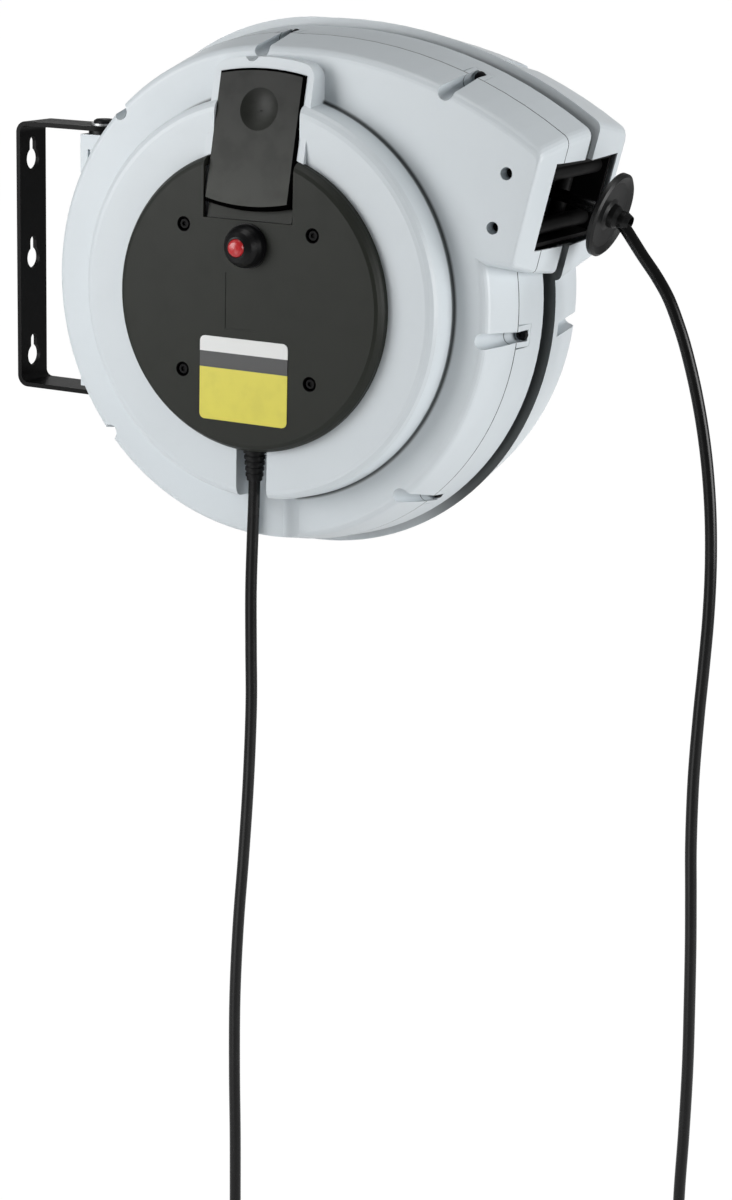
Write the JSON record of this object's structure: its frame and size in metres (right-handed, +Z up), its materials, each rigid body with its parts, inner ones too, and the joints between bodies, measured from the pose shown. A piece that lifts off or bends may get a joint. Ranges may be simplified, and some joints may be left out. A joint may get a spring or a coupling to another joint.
{
  "type": "wall-mounted spring-rewind cable reel",
  "caption": "Round cased cable reel with a roller mouth and hanging leads, swivelling on a U-shaped wall bracket.",
  "frame": {"origin": "centre of the round end of the middle keyhole, on the bracket's wall face", "axes": "+X away from the wall towards the cable mouth, -Y towards the front cover, +Z up"},
  "size_m": [0.623, 0.2163, 1.149],
  "materials": {
    "shell": "light grey moulded plastic, satin",
    "black_plastic": "black plastic, satin",
    "cover_plastic": "near-black moulded plastic, satin",
    "roller_plastic": "dark nylon",
    "bush_plastic": "natural nylon",
    "label": "bare label in plain colour bands",
    "rubber": "black rubber",
    "cord": "black rubber flex, slightly glossy",
    "red_plastic": "red push button",
    "bracket_paint": "black powder coat",
    "steel": "zinc plated steel",
    "dark_steel": "blackened steel",
    "drum_paint": "grey painted sheet steel",
    "spring_steel": "blued spring steel",
    "brass": "brass"
  },
  "bodies": {
    "bracket": {"wall_bracket": "bracket_paint", "pivot_bolts": "dark_steel", "pivot_washers": "steel"},
    "case": {"pivot_bushes": "black_plastic", "front_shell": "shell", "middle_band": "shell", "rear_shell": "shell", "front_cover": "cover_plastic", "cover_screws": "dark_steel", "flute_screws": "dark_steel", "rear_screws": "dark_steel", "mouth_screws": "dark_steel", "rating_label": "label", "button_boot": "rubber", "breaker_body": "black_plastic", "pawl_pin": "steel", "drum_axle": "steel", "axle_nut": "steel", "axle_washer": "steel", "axle_support": "steel", "brush_holder": "black_plastic", "brushes": "rubber", "terminal_block": "bush_plastic", "spring_arbor": "steel", "roller_frame": "black_plastic", "roller_pins": "steel", "supply_gland": "rubber", "supply_cord": "cord", "supply_plug": "black_plastic", "plug_pins": "steel", "cable_stop": "black_plastic", "outlet_cord": "cord", "trailing_socket": "black_plastic"},
    "drum": {"drum_front_flange": "drum_paint", "drum_rear_flange": "drum_paint", "drum_hub": "drum_paint", "drum_bushes": "bush_plastic", "ratchet_ring": "steel", "slip_ring_carrier": "bush_plastic", "slip_rings": "brass", "spring_cassette": "drum_paint", "mainspring": "spring_steel", "wound_cable_core": "cord", "wound_cable": "cord"},
    "button": {"reset_button": "red_plastic"},
    "slider": {"ratchet_slider": "cover_plastic"},
    "pawl_lever": {"pawl": "steel"},
    "upper_roller": {"top_roller": "roller_plastic"},
    "lower_roller": {"bottom_roller": "roller_plastic"},
    "front_guide": {"front_roller": "roller_plastic"},
    "rear_guide": {"rear_roller": "roller_plastic"}
  },
  "joints": [
    {"name": "case_swivel", "type": "hinge", "parent": "bracket", "child": "case", "pos_m": [0.0715, 0, 0.0039], "axis": [0, 0, 1], "range_deg": [-60, 60]},
    {"name": "drum_spin", "type": "hinge", "parent": "case", "child": "drum", "pos_m": [0.267, 0.005, 0.0017], "axis": [0, 1, 0], "continuous": true},
    {"name": "reset_press", "type": "slide", "parent": "case", "child": "button", "axis": [0, 1, 0], "range_m": [0, 0.0025], "stiffness_N_per_m": 400},
    {"name": "slider_travel", "type": "slide", "parent": "case", "child": "slider", "axis": [0, -0.225, -0.9744], "range_m": [0, 0.006]},
    {"name": "pawl_swing", "type": "hinge", "parent": "case", "child": "pawl_lever", "pos_m": [0.291, -0.0575, 0.1517], "axis": [0, -1, 0], "range_deg": [0, 14.4]},
    {"name": "top_roller_spin", "type": "hinge", "parent": "case", "child": "upper_roller", "pos_m": [0.46585, 0.005, 0.10335], "axis": [0, 1, 0], "continuous": true},
    {"name": "bottom_roller_spin", "type": "hinge", "parent": "case", "child": "lower_roller", "pos_m": [0.45665, 0.005, 0.06443], "axis": [0, 1, 0], "continuous": true},
    {"name": "front_roller_spin", "type": "hinge", "parent": "case", "child": "front_guide", "pos_m": [0.44568, -0.033, 0.08757], "axis": [0.23, 0, 0.9732], "continuous": true},
    {"name": "rear_roller_spin", "type": "hinge", "parent": "case", "child": "rear_guide", "pos_m": [0.44568, 0.043, 0.08757], "axis": [0.23, 0, 0.9732], "continuous": true}
  ],
  "couplings": [
    {"joint": "pawl_swing", "follows": "slider_travel", "rad_per_m": 41.667}
  ]
}
